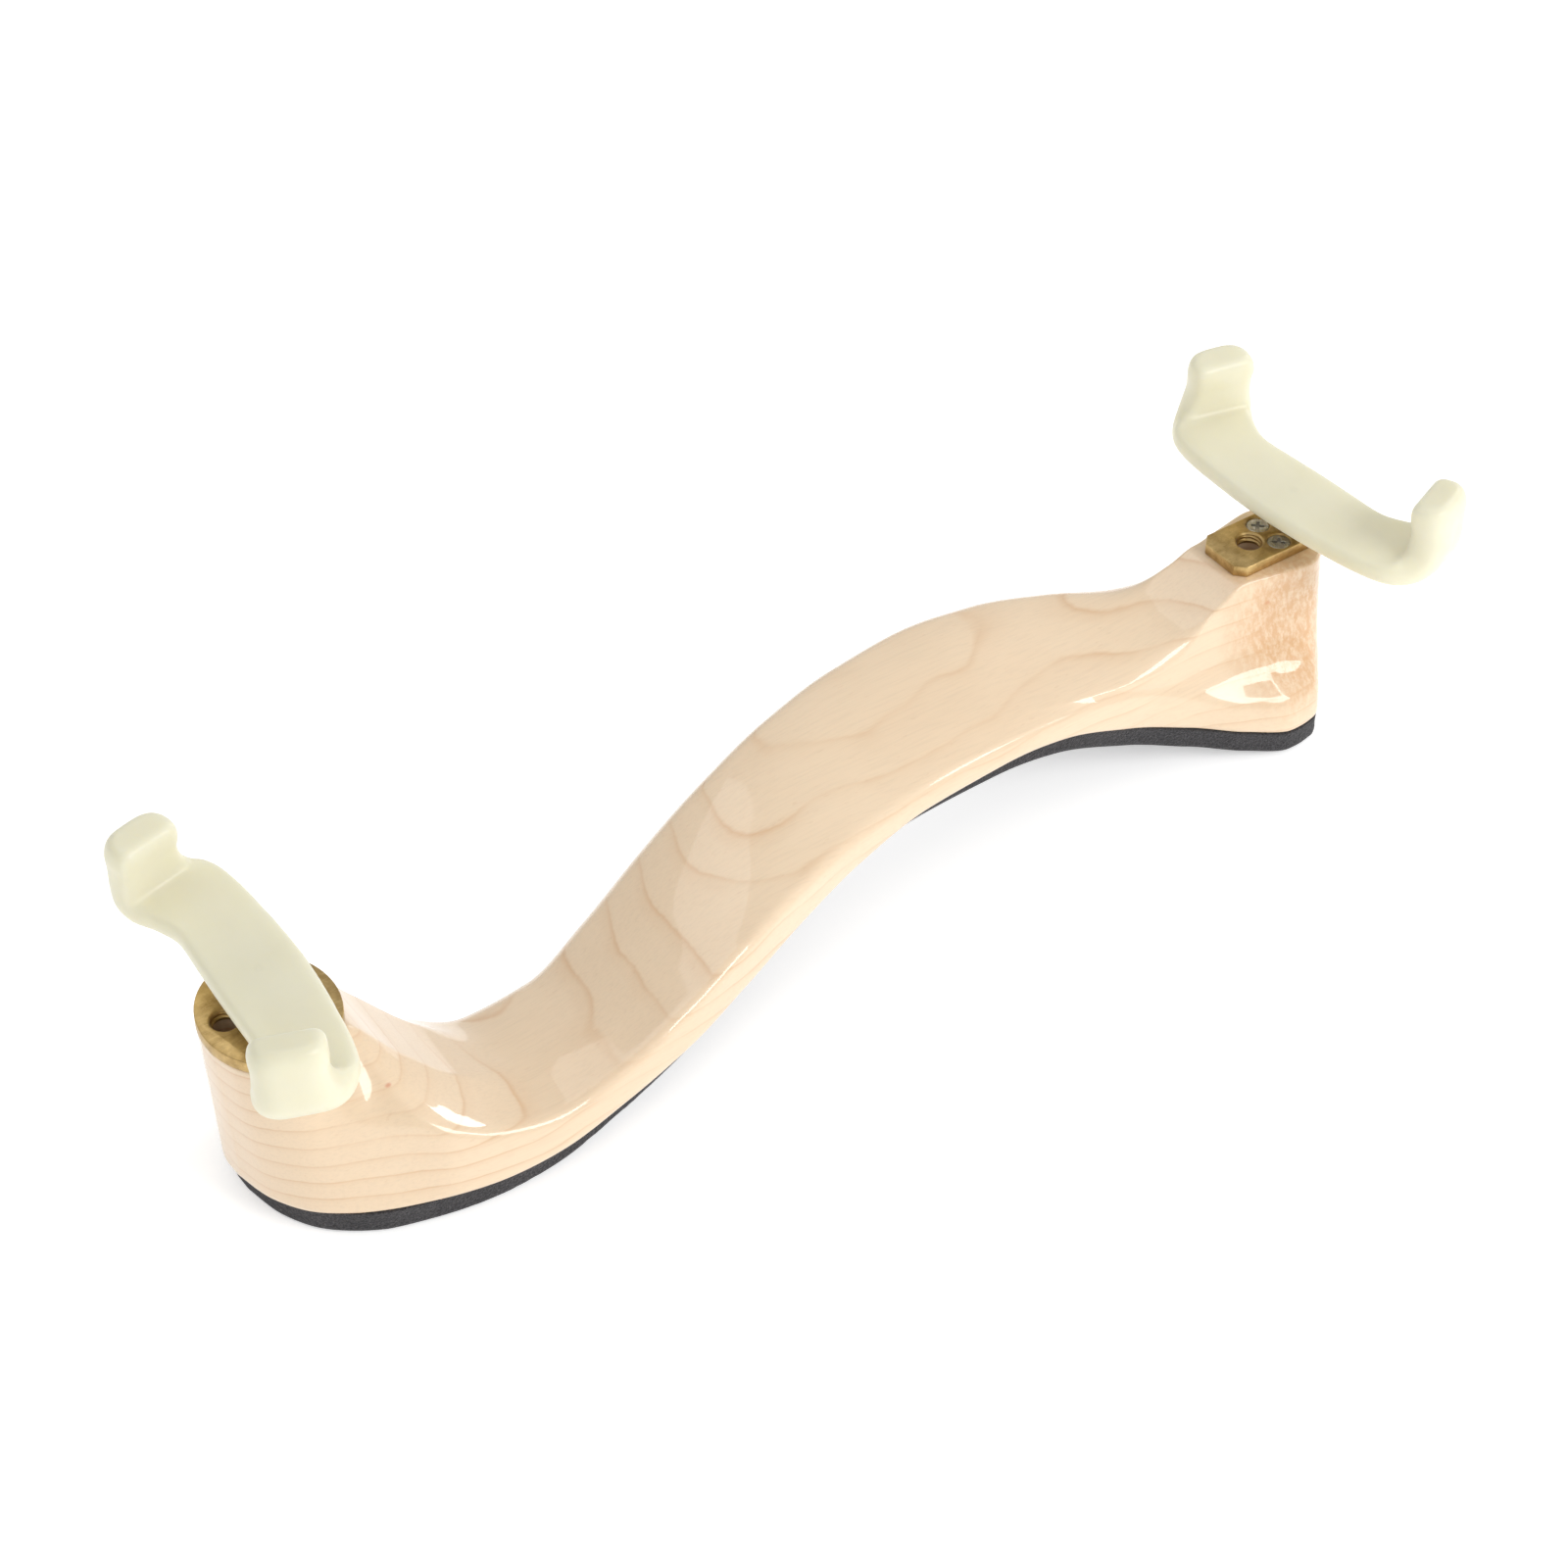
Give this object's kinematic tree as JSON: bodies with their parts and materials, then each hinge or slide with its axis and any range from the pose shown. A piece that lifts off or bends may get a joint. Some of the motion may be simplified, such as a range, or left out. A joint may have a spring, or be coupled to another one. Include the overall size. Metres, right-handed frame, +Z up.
{
  "type": "violin shoulder rest",
  "caption": "Carved, S-curved wooden shoulder rest with a foam pad beneath and a height-adjustable forked rubber foot screwed into a brass plate at each end.",
  "frame": {"origin": "centre of the assembly's footprint, on the surface that the pad stands on", "axes": "+X along the bar from the wide-shouldered end to the narrow end, +Y across the bar to the chest side, +Z up, from the pad towards the feet"},
  "size_m": [0.2176, 0.0568, 0.0481],
  "materials": {
    "maple": "clear gloss lacquer",
    "foam": "matte, fine closed-cell foam",
    "brass": "brushed, worn",
    "steel": "plated",
    "foot_rubber": "smooth, slightly translucent"
  },
  "bodies": {
    "bar": {"maple_bar": "maple", "foam_pad": "foam", "left_plate": "brass", "right_plate": "brass", "left_plate_screws": "steel", "right_plate_screws": "steel"},
    "left_stud": {"left_stud": "steel"},
    "left_foot": {"left_foot": "foot_rubber"},
    "right_stud": {"right_stud": "steel"},
    "right_foot": {"right_foot": "foot_rubber"}
  },
  "joints": [
    {"name": "left_foot_rise", "type": "slide", "parent": "bar", "child": "left_stud", "axis": [0, 0, 1], "range_m": [-0.0014, 0.0084]},
    {"name": "left_foot_turn", "type": "hinge", "parent": "left_stud", "child": "left_foot", "pos_m": [-0.095, 0, 0.0354], "axis": [0, 0, 1], "range_deg": [-720, 4320]},
    {"name": "right_foot_rise", "type": "slide", "parent": "bar", "child": "right_stud", "axis": [0, 0, 1], "range_m": [-0.0014, 0.0084]},
    {"name": "right_foot_turn", "type": "hinge", "parent": "right_stud", "child": "right_foot", "pos_m": [0.095, 0, 0.0354], "axis": [0, 0, 1], "range_deg": [-720, 4320]}
  ],
  "couplings": [
    {"joint": "left_foot_turn", "follows": "left_foot_rise", "rad_per_m": 8976},
    {"joint": "right_foot_turn", "follows": "right_foot_rise", "rad_per_m": 8976}
  ]
}
